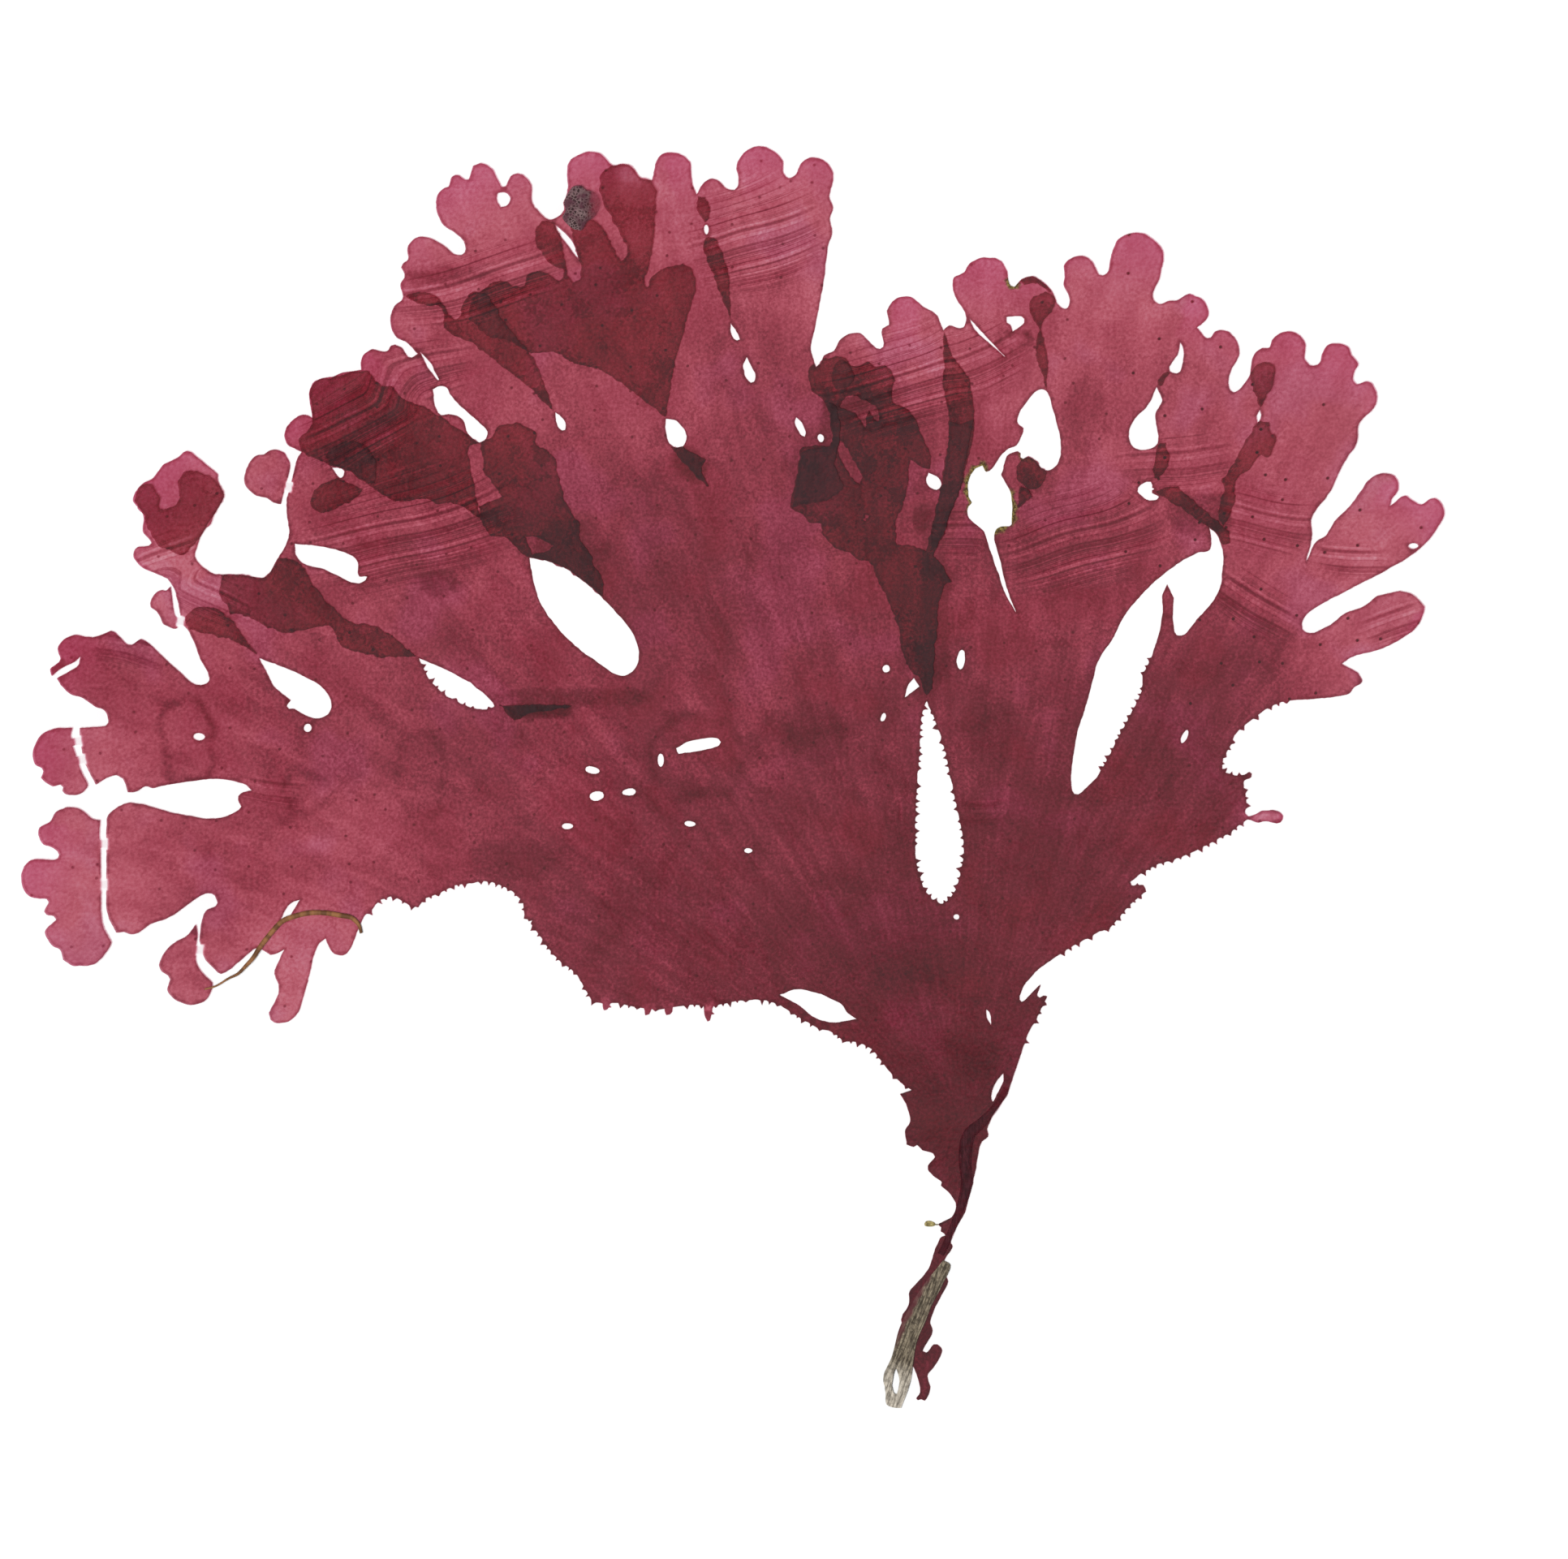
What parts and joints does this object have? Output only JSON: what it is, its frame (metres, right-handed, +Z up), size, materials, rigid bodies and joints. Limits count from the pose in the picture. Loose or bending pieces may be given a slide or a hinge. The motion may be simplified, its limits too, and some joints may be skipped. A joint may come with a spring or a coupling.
{
  "type": "pressed red seaweed frond",
  "caption": "Flat dried red seaweed frond with round-tipped overlapping lobes, sinus holes, toothed lower margins and a short narrow stipe with an old pale crust.",
  "frame": {"origin": "centre of the box's underside, on the surface the frond lies on", "axes": "+X runs across the frond to the right as it is seen from above, +Y runs from the stipe towards the upper lobes, +Z is up off the surface"},
  "size_m": [0.168, 0.1489, 0.0041],
  "materials": {
    "thallus": "thin dried translucent blade, satin",
    "old_stipe": "rough dry fibre",
    "brown_filament": "dry matte",
    "dark_crust": "rough matte",
    "pale_bud": "dry matte"
  },
  "bodies": {
    "root": {"frond": "thallus", "stipe_crust": "old_stipe", "strand": "brown_filament", "crust_patch": "dark_crust", "bud": "pale_bud"}
  },
  "joints": []
}
